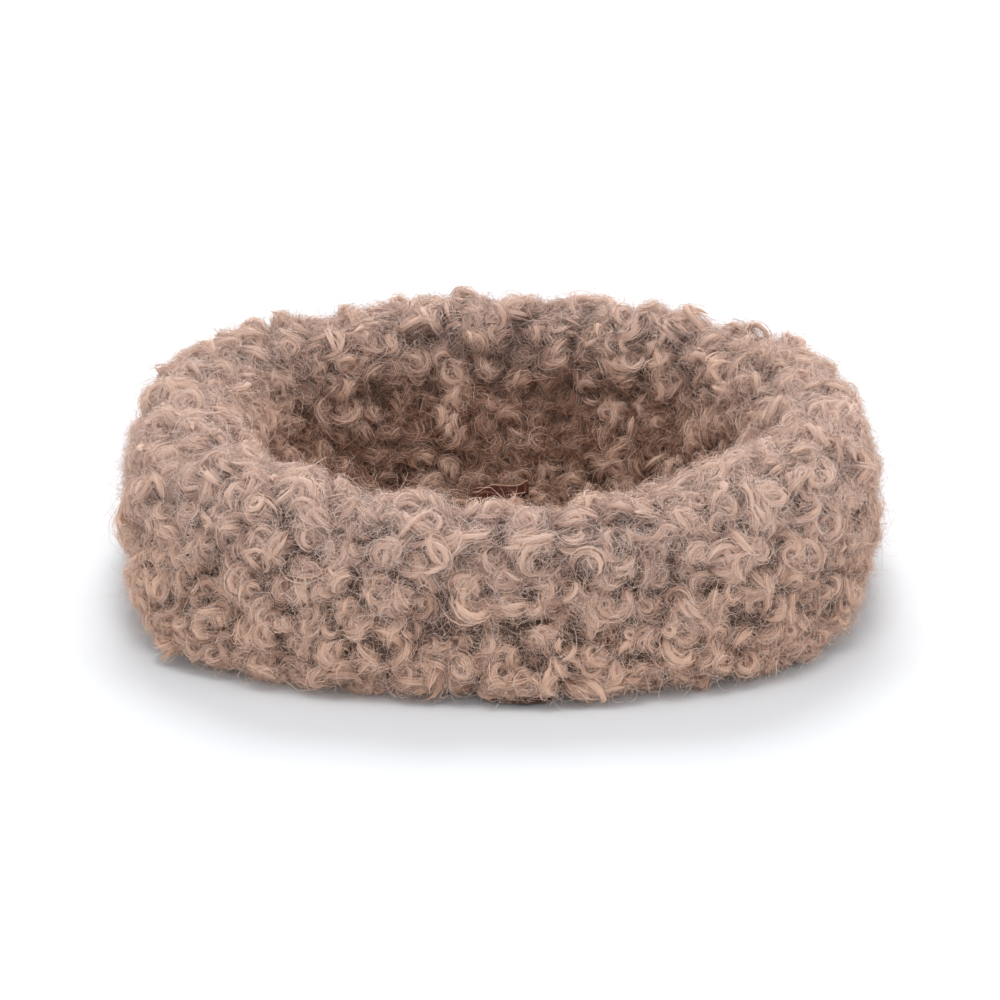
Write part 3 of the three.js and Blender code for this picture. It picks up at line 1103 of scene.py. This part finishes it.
def stitches(name, path, lift, node):
    """A row of thread stitches along a path, each arched a little along lift."""
    steps = np.linalg.norm(np.diff(path, axis=0), axis=1)
    run = np.concatenate([[0], np.cumsum(steps)])
    count = max(int(run[-1] / STITCH_PITCH), 1)
    u = np.linspace(0, 1, STITCH_STEPS)
    at = (np.arange(count)[:, None] + 0.5) * run[-1] / count + (u - 0.5) * STITCH_LENGTH
    middle, up = (np.stack([np.interp(at, run, v[:, i]) for i in range(3)], -1) for v in (path, lift))
    up = unit(up)
    middle = middle + up * STITCH_ARCH * np.sin(math.pi * u)[:, None]
    beside = unit(np.cross(np.gradient(middle, axis=1), up))
    turn = whole_turn(STITCH_SIDES)
    radius = STITCH_RADIUS * np.sin(math.pi * np.linspace(0.06, 0.94, STITCH_STEPS)) ** 0.4
    ring = np.cos(turn)[:, None] * beside[:, :, None] + np.sin(turn)[:, None] * up[:, :, None]
    rings = middle[:, :, None] + radius[:, None, None] * ring
    quads = tube_quads(count, STITCH_STEPS, STITCH_SIDES)
    show(object_from(name, rings.reshape(-1, 3), quads, THREAD), "thread", node)


SEAM_THREAD_RADIUS = 0.45  # of the CAD seams


def ring_seam(name, node):
    """Stitches round the bed, where the CAD seam runs."""
    radius, _, height = corners(node)[1] - SEAM_THREAD_RADIUS
    angle = np.linspace(0, 2 * math.pi, 721)
    path = np.stack([*plan(radius, angle), height * sag(angle)], -1)
    stitches(name, path, np.broadcast_to((0, 0, 1), path.shape), node)


def join_seam(name, node, low, high):
    """Stitches up the back, where the ends of a cover meet."""
    count, over_backing, lowest = 200, 0.4, 2.2
    point, _, _, normal = smooth_surface(np.linspace(low, high, count), np.full(count, BACK))
    path = point - (BACKING_DEPTH - over_backing) * normal
    path[:, 2] = np.maximum(path[:, 2], lowest)
    stitches(name, path, normal, node)


def slot_seam(name, node):
    """The hand-sewn row along the filling slot, under the bed."""
    x = np.linspace(-SLOT_HALF, SLOT_HALF, 60)
    path = np.stack([x, 0 * x + SLOT_Y, 0 * x + 0.6], -1)
    stitches(name, path, np.broadcast_to((0.0, 0, -1), path.shape), node)


ring_seam("rim_stitches", "rim_seam")
ring_seam("floor_stitches", "floor_seam")
ring_seam("base_stitches", "base_seam")
join_seam("wall_join_stitches", "wall_join_seam", 8, profile.crest - 3)
join_seam("inner_join_stitches", "inner_join_seam", profile.crest + 3, profile.floor - 4)
slot_seam("slot_stitches", "filling_gap_seam")

# ---------------------------------------------------------------- floor, light and sky


def make_stage():
    """A plain pale floor."""
    size = 2.2
    mesh = bpy.data.meshes.new("studio_floor")
    mesh.from_pydata([(-size, -size, 0), (size, -size, 0), (size, size, 0), (-size, size, 0)],
                     [], [(0, 1, 2, 3)])
    floor = bpy.data.objects.new("studio_floor", mesh)
    bpy.context.collection.objects.link(floor)
    material, _, shader = new_material("studio_floor")
    shader.inputs["Base Color"].default_value = (0.7, 0.71, 0.725, 1)
    shader.inputs["Roughness"].default_value = 0.9
    shader.inputs["Specular IOR Level"].default_value = 0.1
    mesh.materials.append(material)


def area_light(name, place, size, power):
    """A round soft light that faces the bed."""
    data = bpy.data.lights.new(name, "AREA")
    data.shape = "DISK"
    data.size = size
    data.energy = power
    light = bpy.data.objects.new(name, data)
    light.location = place
    light.rotation_euler = (Vector((0, 0, 0.03)) - Vector(place)).to_track_quat("-Z", "Y").to_euler()
    bpy.context.collection.objects.link(light)


def make_lights():
    """A pale sky and five soft lights round the bed and over it."""
    world = bpy.data.worlds.new("studio")
    bpy.context.scene.world = world
    world.use_nodes = True
    background = world.node_tree.nodes["Background"]
    background.inputs["Color"].default_value = (0.96, 0.975, 1.0, 1)
    background.inputs["Strength"].default_value = 0.66
    area_light("front", (0.1, -3.0, 1.2), 1.6, 25)
    area_light("top", (0.0, -0.5, 2.4), 1.2, 18)
    area_light("back", (0.0, 2.1, 2.1), 1.4, 66)
    area_light("left", (-2.4, -0.6, 1.3), 1.4, 8)
    area_light("right", (2.4, -0.6, 1.3), 1.4, 12)


make_stage()
make_lights()
bpy.context.scene.view_settings.view_transform = "Standard"
